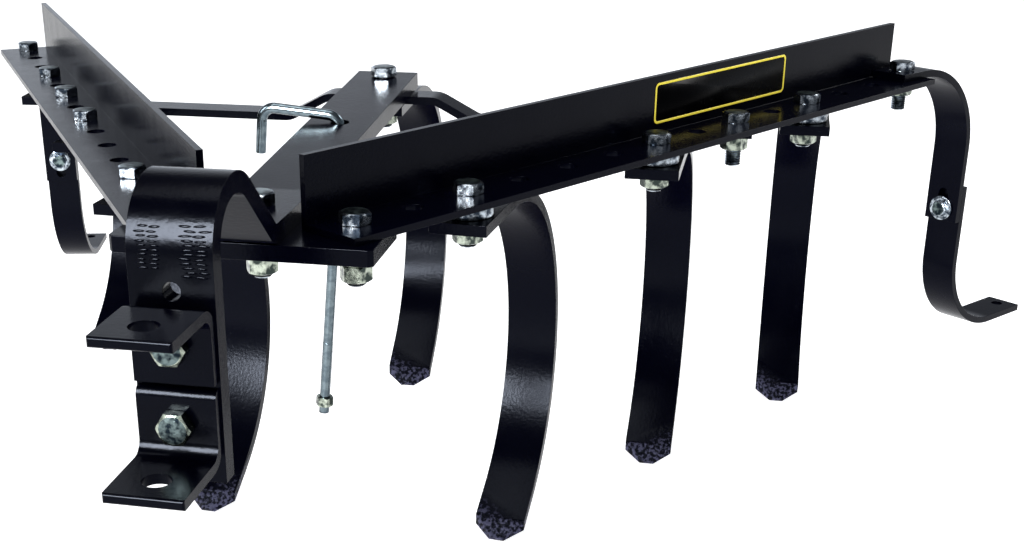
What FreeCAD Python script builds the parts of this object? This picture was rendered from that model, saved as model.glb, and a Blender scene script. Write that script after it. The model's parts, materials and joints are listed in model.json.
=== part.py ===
"""Tow-behind row cultivator: two punched angle arms in a V, a bent drawbar down the middle,
seven C-shaped tines, two gauge shoes and a loose hook rod.

Frame: millimetres, +Z up, +Y to the rear (the machine is towed towards -Y), +X to its left.
The origin is on the hitch pin's axis, midway between the two clevis ears.
"""
import FreeCAD
import Part
import math
import os
import Sketcher
from FreeCAD import Placement, Rotation, Vector

os.makedirs("parts", exist_ok=True)
doc = FreeCAD.newDocument("tow_behind_cultivator")
sheet = doc.addObject("Spreadsheet::Sheet", "sizes")

# Driving sizes in millimetres, angles in degrees
DRIVING_SIZES = [
    # hitch: where the frame sits behind and above the pin
    ("first_hole_back", 191.0, "arms' first holes behind the hitch pin"),
    ("leg_top", 54.0, "top of the arms' flat legs above the origin"),
    # punched angle arms
    ("arm_angle", 33.6, "each arm off the line of travel"),
    ("hole_pitch", 50.8, "spacing of the arm holes"),
    ("arm_start", 23.8, "arm's front end ahead of its first hole"),
    ("arm_stop", 12.7, "arm's rear end behind its last hole"),
    ("arm_leg", 50.8, "width of the flat leg"),
    ("arm_upright", 49.0, "height of the upright leg"),
    ("arm_gauge", 4.76, "angle thickness"),
    ("hole_inset", 19.3, "hole row to the upright's front face"),
    ("first_hole_side", 64.7, "first hole off the centre line"),
    # nose plate
    ("plate_side", 86.5, "half width of the nose plate"),
    ("plate_front", 41.0, "plate ahead of the first holes"),
    ("plate_back", 34.0, "plate behind the first holes"),
    ("plate_gauge", 11.0, "plate thickness"),
    ("plate_corner", 12.0, "chamfer of the plate's rear corners"),
    ("plate_nose_corner", 3.0, "chamfer of its front corners"),
    # drawbar: front leg, arch, slant and centre beam in one bar
    ("bar_width", 50.8, "drawbar width"),
    ("bar_gauge", 12.7, "drawbar thickness"),
    ("leg_face", 41.0, "drawbar's front face behind the pin"),
    ("leg_bottom", 61.0, "drawbar's lower end below the origin"),
    ("arch_base", 72.0, "start of the arch above the origin"),
    ("arch_radius", 34.0, "arch, to the middle of the bar"),
    ("slant_angle", 42.0, "fall of the slant behind the arch"),
    ("crook_radius", 14.0, "bend from the slant to the beam"),
    ("beam_flat", 75.0, "level run over the nose plate"),
    ("rise_radius", 60.0, "bend where the beam starts to rise"),
    ("beam_rise", 3.55, "rise of the beam to the rear"),
    ("beam_overhang", 16.2, "rear end behind the cross bar's middle"),
    ("front_bolt_back", 5.0, "centre bolt behind the first holes"),
    ("hook_back", 200.0, "hook rod's hole behind the first holes"),
    ("spare_hole_up", 54.0, "free hole in the front leg above the origin"),
    ("spare_hole", 11.0, "diameter of that free hole"),
    # clevis ears
    ("ear_width", 48.0, "width of a clevis ear"),
    ("ear_gauge", 6.35, "thickness of a clevis ear"),
    ("ear_span", 97.2, "over the outsides of the two ears"),
    ("ear_front", 21.5, "ear's end ahead of the pin"),
    ("ear_bend", 12.0, "ear's bend, to the middle of its bar"),
    ("ear_split", 3.0, "space between the ends of the two ears' legs"),
    ("pin_hole", 17.5, "hitch pin hole"),
    ("ear_bolt_up", 24.0, "clevis bolts above and below the origin"),
    # tines
    ("tine_width", 40.3, "width of a tine"),
    ("tine_gauge", 7.94, "thickness of a tine"),
    ("tine_front", 25.0, "tine's upper end ahead of its bolt"),
    ("tine_flat", 52.7, "level run behind the bolt"),
    ("tine_radius", 141.7, "tine's bend, to the middle of its bar"),
    ("tine_turn", 150.0, "angle that the tine turns through"),
    ("tine_end", 45.0, "straight run to the tip"),
    ("tip_length", 15.0, "length of the point"),
    ("tip_nose", 7.0, "blunt end of the point"),
    ("spacer_diameter", 36.0, "round spacer over a tine"),
    ("spacer_height", 10.2, "height of the spacer"),
    # cross bar
    ("cross_width", 25.4, "cross bar width"),
    ("cross_gauge", 6.35, "cross bar thickness"),
    ("cross_overhang", 14.0, "cross bar beyond its end bolts"),
    ("hump_half", 42.0, "half length of the raised middle"),
    ("hump_angle", 28.0, "slope up to the raised middle"),
    ("hump_radius", 18.0, "bends of the raised middle"),
    # gauge straps and shoes
    ("strap_width", 34.0, "strap width"),
    ("strap_gauge", 6.35, "strap thickness"),
    ("strap_start", 19.0, "strap ahead of its bolt"),
    ("strap_flat", 15.0, "strap's level run behind its bolt"),
    ("strap_radius", 81.0, "strap's bend, to the middle of its bar"),
    ("strap_drop", 73.0, "strap's upright run"),
    ("slot_width", 10.5, "slot in the strap"),
    ("slot_length", 28.0, "slot, end to end"),
    ("slot_end", 4.0, "slot's lower end above the strap's end"),
    ("shoe_bolt_drop", 138.5, "shoe bolt below the flat legs' top"),
    ("shoe_top", 22.0, "shoe's upper end above its bolt"),
    ("shoe_drop", 53.0, "shoe's upright run below its bolt"),
    ("shoe_radius", 77.0, "shoe's bend, to the middle of its bar"),
    ("foot_length", 54.0, "shoe's foot beyond the bend"),
    ("foot_hole", 11.0, "hole in the foot"),
    ("foot_hole_inset", 13.0, "foot's hole from its end"),
    # hook rod
    ("rod_diameter", 8.0, "hook rod"),
    ("rod_lean", 5.0, "lean of the hook rod"),
    ("rod_rise", 0.3, "hook above the beam"),
    ("rod_reach", 62.0, "hook's free leg from the rod"),
    ("rod_bend", 10.0, "hook's bends, to the middle of the rod"),
    ("rod_hook", 36.0, "drop of the hook's free leg"),
    ("rod_length", 245.0, "rod below the middle of the hook"),
    ("rod_thread", 6.0, "rod's end below its nut"),
    ("rod_nut_flats", 12.7, "hook rod's nut across flats"),
    ("rod_nut_height", 8.0, "height of the hook rod's nut"),
    # half inch bolts through arms, beam, straps and clevis
    ("bolt_diameter", 12.7, "frame bolts"),
    ("bolt_flats", 19.05, "frame bolts' heads and nuts across flats"),
    ("bolt_head", 8.0, "height of a frame bolt's head"),
    ("bolt_nut", 11.0, "height of a frame bolt's nut"),
    ("bolt_end", 3.0, "bolt beyond its nut"),
    ("long_bolt_end", 13.0, "longer bolts beyond their nuts"),
    ("bolt_hole", 14.3, "frame bolts' holes"),
    # three-eighths bolts through the shoes
    ("small_diameter", 9.5, "small bolts"),
    ("small_flats", 14.3, "small bolts' heads and nuts across flats"),
    ("small_head", 6.2, "height of a small bolt's head"),
    ("small_nut", 8.3, "height of a small bolt's nut"),
    ("small_end", 3.0, "small bolt beyond its nut"),
    ("small_hole", 10.6, "small bolts' holes"),
    ("thread_play", 0.05, "play between a nut and its bolt"),
]

HOLES_PER_ARM = 14
TINE_HOLES = (2, 6, 10)
CROSS_BAR_HOLE = 8
STRAP_HOLE = 13
ALL_BOLT_HOLES = (0,) + TINE_HOLES[:2] + (CROSS_BAR_HOLE,) + TINE_HOLES[2:] + (STRAP_HOLE,)
HEX_SIDES = 6


class Size:
    """A number together with the sheet expression that gives it."""

    def __init__(self, text, number):
        self.text = text
        self.number = number

    @staticmethod
    def of(value):
        return value if isinstance(value, Size) else Size(repr(float(value)), float(value))

    def __add__(self, other):
        other = Size.of(other)
        return Size(f"({self.text} + {other.text})", self.number + other.number)

    def __sub__(self, other):
        other = Size.of(other)
        return Size(f"({self.text} - {other.text})", self.number - other.number)

    def __mul__(self, other):
        other = Size.of(other)
        return Size(f"({self.text} * {other.text})", self.number * other.number)

    def __truediv__(self, other):
        other = Size.of(other)
        return Size(f"({self.text} / {other.text})", self.number / other.number)

    def __neg__(self):
        return Size(f"(0 - {self.text})", -self.number)

    __radd__ = __add__
    __rmul__ = __mul__


def sine(angle):
    return Size(f"sin({angle.text})", math.sin(math.radians(angle.number)))


def cosine(angle):
    return Size(f"cos({angle.text})", math.cos(math.radians(angle.number)))


def tangent(angle):
    return Size(f"tan({angle.text})", math.tan(math.radians(angle.number)))


class SizeTable:
    """Reads the sheet's driving sizes by name."""


s = SizeTable()
for row, (alias, number, meaning) in enumerate(DRIVING_SIZES, start=1):
    sheet.set(f"A{row}", alias)
    sheet.set(f"B{row}", str(number))
    sheet.setAlias(f"B{row}", alias)
    sheet.set(f"C{row}", meaning)
    setattr(s, alias, Size(f"sizes.{alias}", float(number)))
doc.recompute()

ZERO = Size.of(0)
ONE = Size.of(1)
SQUARE = Size.of(90)

# Places that several pieces share
leg_under = s.leg_top - s.arm_gauge
plate_under = leg_under - s.plate_gauge
beam_middle = leg_under + s.bar_gauge / 2
bar_back_face = s.leg_face + s.bar_gauge
arch_to_crook = s.arch_base + s.arch_radius * cosine(s.slant_angle) - beam_middle
slant_run = (arch_to_crook - s.crook_radius * (ONE - cosine(s.slant_angle))) / sine(s.slant_angle)
crook_end = (s.leg_face + s.bar_gauge / 2 + s.arch_radius * (sine(s.slant_angle) + 1)
             + slant_run * cosine(s.slant_angle) + s.crook_radius * sine(s.slant_angle))
rise_start = crook_end + s.beam_flat + (s.rise_radius + s.bar_gauge / 2) * tangent(s.beam_rise / 2)
cross_back = s.first_hole_back + s.hole_pitch * CROSS_BAR_HOLE * cosine(s.arm_angle)
rising_run = ((cross_back + s.beam_overhang - crook_end - s.beam_flat
               - s.rise_radius * sine(s.beam_rise)) / cosine(s.beam_rise))
hump_top = leg_under + (cross_back - s.cross_width / 2 - rise_start) * tangent(s.beam_rise)
hump_rise = hump_top - leg_under
centre_tine_top = hump_top - s.cross_gauge
side_tine_top = leg_under - s.spacer_height


def beam_top_at(back):
    """Height of the rising beam's top face at a distance behind the pin."""
    return leg_under + (back - rise_start) * tangent(s.beam_rise) + s.bar_gauge / cosine(s.beam_rise)


def hole_place(side, index):
    """Distance to the left and to the rear of an arm's hole."""
    along = s.hole_pitch * index
    return (s.first_hole_side + along * sine(s.arm_angle)) * side, s.first_hole_back + along * cosine(s.arm_angle)


def bind(owner, name, size):
    """Sets a size and ties it to the sheet."""
    setattr(owner, name, size.number)
    owner.setExpression(name, size.text)


def new_body(name):
    body = doc.addObject("PartDesign::Body", name)
    body.Label = name
    return body


def new_sketch(body, name, role):
    """A sketch on one of the body's own origin planes."""
    sketch = body.newObject("Sketcher::SketchObject", name)
    plane = [item for item in body.Origin.OriginFeatures if item.Role == role][0]
    sketch.AttachmentSupport = (plane, [""])
    sketch.MapMode = "FlatFace"
    return sketch


def constrain(sketch, kind, *items):
    """Adds a constraint whose last item is a Size, tied to the sheet."""
    size = items[-1]
    number = math.radians(size.number) if kind == "Angle" else size.number
    index = sketch.addConstraint(Sketcher.Constraint(kind, *items[:-1], number))
    sketch.setExpression(f"Constraints[{index}]", f"{size.text} * 1 deg" if kind == "Angle" else size.text)


def place_point(sketch, curve, end, point):
    constrain(sketch, "DistanceX", curve, end, point[0])
    constrain(sketch, "DistanceY", curve, end, point[1])


def add_outline(sketch, points):
    """A closed outline of straight edges through points of two Sizes each."""
    count = len(points)
    first = sketch.GeometryCount
    for here in range(count):
        ahead = points[(here + 1) % count]
        start = Vector(points[here][0].number, points[here][1].number, 0)
        sketch.addGeometry(Part.LineSegment(start, Vector(ahead[0].number, ahead[1].number, 0)), False)
    for here in range(count):
        sketch.addConstraint(Sketcher.Constraint("Coincident", first + here, 2, first + (here + 1) % count, 1))
    for here in range(count):
        place_point(sketch, first + here, 1, points[here])


def add_circle(sketch, centre, diameter):
    circle = Part.Circle(Vector(centre[0].number, centre[1].number, 0), Vector(0, 0, 1), diameter.number / 2)
    index = sketch.addGeometry(circle, False)
    place_point(sketch, index, 3, centre)
    constrain(sketch, "Diameter", index, diameter)


def add_chain(sketch, start, heading, moves):
    """Runs and tangent bends one after another; returns the chain's first and last ends.

    A move is ("run", length) or ("bend", radius, turn); a positive turn is to the left.
    """
    spot = Vector(start[0].number, start[1].number, 0)
    angle = heading.number
    toward = heading
    ends = []
    for move in moves:
        here = math.radians(angle)
        if move[0] == "run":
            ahead = spot + Vector(math.cos(here), math.sin(here), 0) * move[1].number
            index = sketch.addGeometry(Part.LineSegment(spot, ahead), False)
            constrain(sketch, "Distance", index, move[1])
            constrain(sketch, "Angle", index, toward)
            ends.append((index, 1, 2))
        else:
            radius, turn = move[1].number, move[2].number
            left = 1 if turn > 0 else -1
            centre = spot + Vector(-math.sin(here), math.cos(here), 0) * radius * left
            angle += turn
            toward = toward + move[2]
            after = math.radians(angle)
            ahead = centre + Vector(math.sin(after), -math.cos(after), 0) * radius * left
            circle = Part.Circle(centre, Vector(0, 0, 1), radius)
            from_angle = math.atan2(spot.y - centre.y, spot.x - centre.x)
            to_angle = math.atan2(ahead.y - centre.y, ahead.x - centre.x)
            if left < 0:
                from_angle, to_angle = to_angle, from_angle
            index = sketch.addGeometry(Part.ArcOfCircle(circle, from_angle, to_angle), False)
            constrain(sketch, "Radius", index, move[1])
            ends.append((index, 1, 2) if left > 0 else (index, 2, 1))
        spot = ahead
    place_point(sketch, ends[0][0], ends[0][1], start)
    for before, after in zip(ends, ends[1:]):
        sketch.addConstraint(Sketcher.Constraint("Tangent", before[0], before[2], after[0], after[1]))
    return (ends[0][0], ends[0][1], Vector(start[0].number, start[1].number, 0)), (ends[-1][0], ends[-1][2], spot)


def add_band(sketch, start, heading, moves, gauge):
    """The side outline of a flat bar bent along a chain, the chain in its middle."""
    sides = []
    for left in (1, -1):
        shift = gauge * (0.5 * left)
        edge = (start[0] - shift * sine(heading), start[1] + shift * cosine(heading))
        edge_moves = [move if move[0] == "run" else
                      ("bend", move[1] - shift * (1 if move[2].number > 0 else -1), move[2])
                      for move in moves]
        sides.append(add_chain(sketch, edge, heading, edge_moves))
    for end in (0, 1):
        one, other = sides[0][end], sides[1][end]
        index = sketch.addGeometry(Part.LineSegment(one[2], other[2]), False)
        sketch.addConstraint(Sketcher.Constraint("Coincident", index, 1, one[0], one[1]))
        sketch.addConstraint(Sketcher.Constraint("Coincident", index, 2, other[0], other[1]))


def pad(body, name, sketch, length, symmetric=False, backwards=False):
    feature = body.newObject("PartDesign::Pad", name)
    feature.Profile = sketch
    bind(feature, "Length", length)
    feature.SideType = "Symmetric" if symmetric else "One side"
    feature.Reversed = backwards
    doc.recompute()
    return feature


def cut_through(body, name, sketch, length):
    """A pocket cut evenly to both sides of its sketch."""
    before = body.Shape.Volume
    feature = body.newObject("PartDesign::Pocket", name)
    feature.Profile = sketch
    bind(feature, "Length", length)
    feature.SideType = "Symmetric"
    doc.recompute()
    if not body.Shape.Volume < before - 1:
        raise RuntimeError(f"{name} cut nothing")
    return feature


def band_body(name, role, start, heading, moves, gauge, width):
    """A flat bar bent along a chain."""
    body = new_body(name)
    sketch = new_sketch(body, f"{name}_side", role)
    add_band(sketch, start, heading, moves, gauge)
    pad(body, f"{name}_bar", sketch, width, symmetric=True)
    return body


def drill(body, name, role, centres, diameter, depth):
    """Round holes square to one of the body's origin planes."""
    sketch = new_sketch(body, f"{name}_circles", role)
    for centre in centres:
        add_circle(sketch, centre, diameter)
    cut_through(body, name, sketch, depth)


def turned(angle, lean=0.0):
    return Rotation(Vector(0, 0, 1), angle) * Rotation(Vector(0, 1, 0), lean)


def build_arm(name, side):
    """A punched angle; local +X runs along the arm from its front end, z = 0 on the flat leg's top."""
    body = new_body(name)
    outward = -side
    face = s.hole_inset * -outward
    edge = (s.arm_leg - s.arm_gauge - s.hole_inset) * outward
    back = face - s.arm_gauge * outward
    top = s.arm_upright - s.arm_gauge
    section = new_sketch(body, f"{name}_section", "YZ_Plane")
    add_outline(section, [(edge, ZERO), (edge, -s.arm_gauge), (back, -s.arm_gauge),
                          (back, top), (face, top), (face, ZERO)])
    length = s.arm_start + s.hole_pitch * (HOLES_PER_ARM - 1) + s.arm_stop
    pad(body, f"{name}_angle", section, length)
    circle = new_sketch(body, f"{name}_hole_circle", "XY_Plane")
    add_circle(circle, (s.arm_start, ZERO), s.bolt_hole)
    first_hole = cut_through(body, f"{name}_first_hole", circle, s.arm_gauge * 3)
    row = body.newObject("PartDesign::LinearPattern", f"{name}_hole_row")
    row.Originals = [first_hole]
    along = [item for item in body.Origin.OriginFeatures if item.Role == "X_Axis"][0]
    row.Direction = (along, [""])
    row.Mode = "Spacing"
    bind(row, "Offset", s.hole_pitch)
    row.Occurrences = HOLES_PER_ARM
    body.Tip = row
    heading = SQUARE.number - side * s.arm_angle.number
    first = hole_place(side, 0)
    along_arm = Vector(math.cos(math.radians(heading)), math.sin(math.radians(heading)), 0)
    corner = Vector(first[0].number, first[1].number, s.leg_top.number) - along_arm * s.arm_start.number
    body.Placement = Placement(corner, turned(heading))
    return body


def build_nose_plate():
    """Flat plate under both arms' front ends and the drawbar, its corners cut off."""
    body = new_body("nose_plate")
    front = s.first_hole_back - s.plate_front
    back = s.first_hole_back + s.plate_back
    side, corner, nose = s.plate_side, s.plate_corner, s.plate_nose_corner
    outline = new_sketch(body, "nose_plate_outline", "XY_Plane")
    add_outline(outline, [(side - nose, front), (side, front + nose), (side, back - corner),
                          (side - corner, back), (corner - side, back), (-side, back - corner),
                          (-side, front + nose), (nose - side, front)])
    pad(body, "nose_plate_sheet", outline, s.plate_gauge)
    centres = [hole_place(1, 0), hole_place(-1, 0), (ZERO, s.first_hole_back + s.front_bolt_back)]
    drill(body, "nose_plate_holes", "XY_Plane", centres, s.bolt_hole, s.plate_gauge * 3)
    body.Placement = Placement(Vector(0, 0, plate_under.number), Rotation())
    return body


def build_drawbar():
    """One flat bar: front leg, arch, slant down to the nose plate and rising centre beam."""
    start = (s.leg_face + s.bar_gauge / 2, -s.leg_bottom)
    moves = [("run", s.leg_bottom + s.arch_base),
             ("bend", s.arch_radius, -(s.slant_angle + SQUARE)),
             ("run", slant_run),
             ("bend", s.crook_radius, s.slant_angle),
             ("run", s.beam_flat),
             ("bend", s.rise_radius, s.beam_rise),
             ("run", rising_run)]
    body = band_body("drawbar", "YZ_Plane", start, SQUARE, moves, s.bar_gauge, s.bar_width)
    deep = (s.leg_face + s.bar_gauge) * 2
    drill(body, "clevis_bolt_holes", "XZ_Plane", [(ZERO, s.ear_bolt_up), (ZERO, -s.ear_bolt_up)],
          s.bolt_hole, deep)
    drill(body, "spare_hole", "XZ_Plane", [(ZERO, s.spare_hole_up)], s.spare_hole, deep)
    tall = (s.leg_top + s.bar_gauge + s.arch_radius) * 2
    upright = [(ZERO, s.first_hole_back + s.front_bolt_back), (ZERO, s.first_hole_back + s.hook_back),
               (ZERO, cross_back)]
    drill(body, "beam_holes", "XY_Plane", upright, s.bolt_hole, tall)
    return body


def build_ear(name, side):
    """An L-shaped clevis ear; side is 1 for the upper one and -1 for the lower one."""
    reach = s.leg_face + s.ear_front - s.ear_gauge / 2 - s.ear_bend
    drop = s.ear_span / 2 - s.ear_gauge / 2 - s.ear_bend - s.ear_split / 2
    moves = [("run", reach), ("bend", s.ear_bend, -SQUARE * side), ("run", drop)]
    start = (-s.ear_front, (s.ear_span / 2 - s.ear_gauge / 2) * side)
    body = band_body(name, "YZ_Plane", start, ZERO, moves, s.ear_gauge, s.ear_width)
    drill(body, f"{name}_pin_hole", "XY_Plane", [(ZERO, ZERO)], s.pin_hole, s.ear_span * 2)
    drill(body, f"{name}_bolt_hole", "XZ_Plane", [(ZERO, s.ear_bolt_up * side)], s.bolt_hole,
          (s.leg_face + s.ear_gauge) * 2)
    return body


def cut_point(body, name):
    """Cuts both corners off a tine's lower end, which leaves its blunt point."""
    fall = s.tine_turn - SQUARE
    tip_back = s.tine_flat + s.tine_radius * cosine(fall) - s.tine_end * sine(fall)
    tip_down = s.tine_radius * (ONE + sine(fall)) + s.tine_end * cosine(fall)
    corner_back = tip_back + s.tip_length * sine(fall)
    clear = tip_back - s.tine_gauge
    outline = new_sketch(body, f"{name}_point_outline", "XY_Plane")
    outline.AttachmentOffset = Placement(Vector(0, 0, -tip_down.number), Rotation())
    outline.setExpression("AttachmentOffset.Base.z", (-tip_down).text)
    for side in (1, -1):
        inner, edge, outer = s.tip_nose / 2 * side, s.tine_width / 2 * side, s.tine_width * side
        add_outline(outline, [(inner, clear), (inner, tip_back), (edge, corner_back),
                              (outer, corner_back), (outer, clear)])
    cut_through(body, f"{name}_point", outline, s.tine_end * 2)


def build_tine(name, side, index, swivel):
    """A C-shaped tine; local origin on its bolt at the middle of its thickness."""
    moves = [("run", s.tine_front + s.tine_flat),
             ("bend", s.tine_radius, -s.tine_turn),
             ("run", s.tine_end)]
    body = band_body(name, "YZ_Plane", (-s.tine_front, ZERO), ZERO, moves, s.tine_gauge, s.tine_width)
    drill(body, f"{name}_hole", "XY_Plane", [(ZERO, ZERO)], s.bolt_hole, s.tine_gauge * 3)
    cut_point(body, name)
    if index is None:
        left, back, top = ZERO, cross_back, centre_tine_top
    else:
        left, back = hole_place(side, index)
        top = side_tine_top
    middle = top.number - s.tine_gauge.number / 2
    body.Placement = Placement(Vector(left.number, back.number, middle), turned(-swivel))
    return body


def build_cross_bar():
    """Flat bar under both arms, raised in the middle to pass under the centre beam."""
    slope = (hump_rise - s.hump_radius * 2 * (ONE - cosine(s.hump_angle))) / sine(s.hump_angle)
    half_span = hole_place(1, CROSS_BAR_HOLE)[0] + s.cross_overhang
    rise_span = s.hump_radius * 2 * sine(s.hump_angle) + slope * cosine(s.hump_angle)
    level = half_span - s.hump_half - rise_span
    up, down = s.hump_angle, -s.hump_angle
    moves = [("run", level), ("bend", s.hump_radius, up), ("run", slope), ("bend", s.hump_radius, down),
             ("run", s.hump_half * 2),
             ("bend", s.hump_radius, down), ("run", slope), ("bend", s.hump_radius, up), ("run", level)]
    body = band_body("cross_bar", "XZ_Plane", (-half_span, ZERO), ZERO, moves, s.cross_gauge, s.cross_width)
    side = hole_place(1, CROSS_BAR_HOLE)[0]
    drill(body, "cross_bar_holes", "XY_Plane", [(side, ZERO), (ZERO, ZERO), (-side, ZERO)],
          s.bolt_hole, hump_rise * 3)
    middle = leg_under.number - s.cross_gauge.number / 2
    body.Placement = Placement(Vector(0, cross_back.number, middle), Rotation())
    return body


def strap_height(on_top):
    """Middle of a gauge strap's thickness, on top of the flat leg or under it."""
    return s.leg_top + s.strap_gauge / 2 if on_top else leg_under - s.strap_gauge / 2


def strap_reach():
    """Middle of the strap's upright run behind its bolt."""
    return s.strap_flat + s.strap_radius


def build_gauge_strap(name, side, swivel, on_top):
    """Slotted strap bolted to an arm's rear end and bent down behind it."""
    moves = [("run", s.strap_start + s.strap_flat),
             ("bend", s.strap_radius, -SQUARE),
             ("run", s.strap_drop)]
    body = band_body(name, "YZ_Plane", (-s.strap_start, ZERO), ZERO, moves, s.strap_gauge, s.strap_width)
    drill(body, f"{name}_hole", "XY_Plane", [(ZERO, ZERO)], s.bolt_hole, s.strap_gauge * 3)
    bottom = -(s.strap_radius + s.strap_drop)
    low = bottom + s.slot_end + s.slot_width / 2
    high = bottom + s.slot_end + s.slot_length - s.slot_width / 2
    slot = new_sketch(body, f"{name}_slot_outline", "XZ_Plane")
    half = s.slot_width / 2
    add_outline(slot, [(half, low), (half, high), (-half, high), (-half, low)])
    cut_through(body, f"{name}_slot", slot, (strap_reach() + s.strap_gauge) * 2)
    drill(body, f"{name}_slot_ends", "XZ_Plane", [(ZERO, high), (ZERO, low)], s.slot_width,
          (strap_reach() + s.strap_gauge) * 2)
    left, back = hole_place(side, STRAP_HOLE)
    body.Placement = Placement(Vector(left.number, back.number, strap_height(on_top).number), turned(-swivel))
    return body


def build_gauge_shoe(name, side, swivel):
    """Shoe bolted behind the slotted strap, its foot turned outwards."""
    moves = [("run", s.shoe_top + s.shoe_drop),
             ("bend", s.shoe_radius, SQUARE),
             ("run", s.foot_length)]
    body = band_body(name, "YZ_Plane", (strap_reach() + s.strap_gauge, s.shoe_top), -SQUARE, moves,
                     s.strap_gauge, s.strap_width)
    drill(body, f"{name}_bolt_hole", "XZ_Plane", [(ZERO, ZERO)], s.small_hole,
          (strap_reach() + s.strap_gauge * 2) * 2)
    toe = strap_reach() + s.strap_gauge + s.shoe_radius + s.foot_length
    drill(body, f"{name}_foot_hole", "XY_Plane", [(ZERO, toe - s.foot_hole_inset)], s.foot_hole,
          (s.shoe_drop + s.shoe_radius + s.strap_gauge) * 2)
    left, back = hole_place(side, STRAP_HOLE)
    height = s.leg_top.number - s.shoe_bolt_drop.number
    body.Placement = Placement(Vector(left.number, back.number, height), turned(-swivel))
    return body


def build_hook_rod():
    """Round rod hooked over at the top; local origin where its axis leaves the hook's middle line."""
    body = new_body("hook_rod")
    path = new_sketch(body, "hook_rod_path", "XZ_Plane")
    straight = s.rod_length - s.rod_bend
    across = s.rod_reach - s.rod_bend * 2
    add_chain(path, (ZERO, -s.rod_length), SQUARE,
              [("run", straight), ("bend", s.rod_bend, SQUARE), ("run", across),
               ("bend", s.rod_bend, SQUARE), ("run", s.rod_hook - s.rod_bend)])
    ring = new_sketch(body, "hook_rod_section", "XY_Plane")
    ring.AttachmentOffset = Placement(Vector(0, 0, -s.rod_length.number), Rotation())
    ring.setExpression("AttachmentOffset.Base.z", (-s.rod_length).text)
    add_circle(ring, (ZERO, ZERO), s.rod_diameter)
    doc.recompute()
    pipe = body.newObject("PartDesign::AdditivePipe", "hook_rod_bar")
    pipe.Profile = ring
    pipe.Spine = path
    doc.recompute()
    body.Placement = rod_placement()
    return body


def rod_placement():
    """The rod's axis leans through the middle of the beam's hole, its hook just above the beam."""
    back = s.first_hole_back + s.hook_back
    hook_height = beam_top_at(back + s.rod_diameter / 2).number + s.rod_diameter.number / 2 + s.rod_rise.number
    hole_middle = beam_top_at(back).number - s.bar_gauge.number / 2
    aside = (hook_height - hole_middle) * tangent(s.rod_lean).number
    return Placement(Vector(aside, back.number, hook_height), turned(0, s.rod_lean.number))


def make_cylinder(name, radius, height):
    piece = doc.addObject("Part::Cylinder", name)
    bind(piece, "Radius", radius)
    bind(piece, "Height", height)
    return piece


def make_hex(name, flats, height):
    piece = doc.addObject("Part::Prism", name)
    piece.Polygon = HEX_SIDES
    bind(piece, "Circumradius", flats / 2 / cosine(Size.of(180 / HEX_SIDES)))
    bind(piece, "Height", height)
    return piece


def make_bolt(name, kind, grip):
    """Hex bolt along -Z: its head's underside at z = 0, its grip and nut below."""
    head = make_hex(f"{name}_head", kind["flats"], kind["head"])
    length = grip + kind["nut"] + kind["end"]
    shank = make_cylinder(f"{name}_shank", kind["diameter"] / 2, length)
    shank.Placement.Base.z = -length.number
    bolt = doc.addObject("Part::Fuse", name)
    bolt.Base = head
    bolt.Tool = shank
    return bolt


def make_nut(name, kind, grip):
    """Hex nut on that bolt, its top face at the grip's lower end."""
    block = make_hex(f"{name}_block", kind["flats"], kind["nut"])
    bore = make_cylinder(f"{name}_bore", kind["diameter"] / 2 + s.thread_play, kind["nut"])
    for piece in (block, bore):
        piece.Placement.Base.z = -(grip + kind["nut"]).number
    nut = doc.addObject("Part::Cut", name)
    nut.Base = block
    nut.Tool = bore
    return nut


def make_spacer(name):
    block = make_cylinder(f"{name}_block", s.spacer_diameter / 2, s.spacer_height)
    bore = make_cylinder(f"{name}_bore", s.bolt_hole / 2, s.spacer_height)
    spacer = doc.addObject("Part::Cut", name)
    spacer.Base = block
    spacer.Tool = bore
    return spacer


def group(name, pieces):
    """Like pieces that don't touch, in one compound."""
    compound = doc.addObject("Part::Compound", name)
    compound.Label = name
    compound.Links = pieces
    return compound


FRAME_BOLT = {"diameter": s.bolt_diameter, "flats": s.bolt_flats, "head": s.bolt_head,
              "nut": s.bolt_nut, "end": s.bolt_end}
LONG_BOLT = dict(FRAME_BOLT, end=s.long_bolt_end)
NOSE_BOLT = dict(FRAME_BOLT, end=s.bolt_nut + s.bolt_end)
SMALL_BOLT = {"diameter": s.small_diameter, "flats": s.small_flats, "head": s.small_head,
              "nut": s.small_nut, "end": s.small_end}

# side and name, swivel of each tine by its hole, swivel of the gauge strap, strap on top of the leg
ARMS = [
    (1, "left", {2: 5.4, 6: 1.0, 10: 0.2}, 39.0, True),
    (-1, "right", {2: 3.0, 6: -1.0, 10: -4.4}, -14.0, False),
]
CENTRE_TINE_SWIVEL = -2.0
TINE_NAMES = {2: "front", 6: "middle", 10: "rear"}

nodes = [build_nose_plate(), build_drawbar(), build_cross_bar(), build_hook_rod(),
         build_ear("upper_clevis_ear", 1), build_ear("lower_clevis_ear", -1),
         build_tine("centre_tine", 0, None, CENTRE_TINE_SWIVEL)]


def bolt_and_nut(name, kind, place, grip):
    """One bolt with its nut, both at the same placement."""
    bolt = make_bolt(f"{name}_bolt", kind, grip)
    nut = make_nut(f"{name}_nut", kind, grip)
    bolt.Placement = place
    nut.Placement = place
    return bolt, nut


def make_lock_nut(name, place, grip):
    """The second nut under a bolt's first one."""
    nut = make_nut(f"{name}_lock_nut", FRAME_BOLT, grip + s.bolt_nut)
    nut.Placement = place
    return nut


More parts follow.
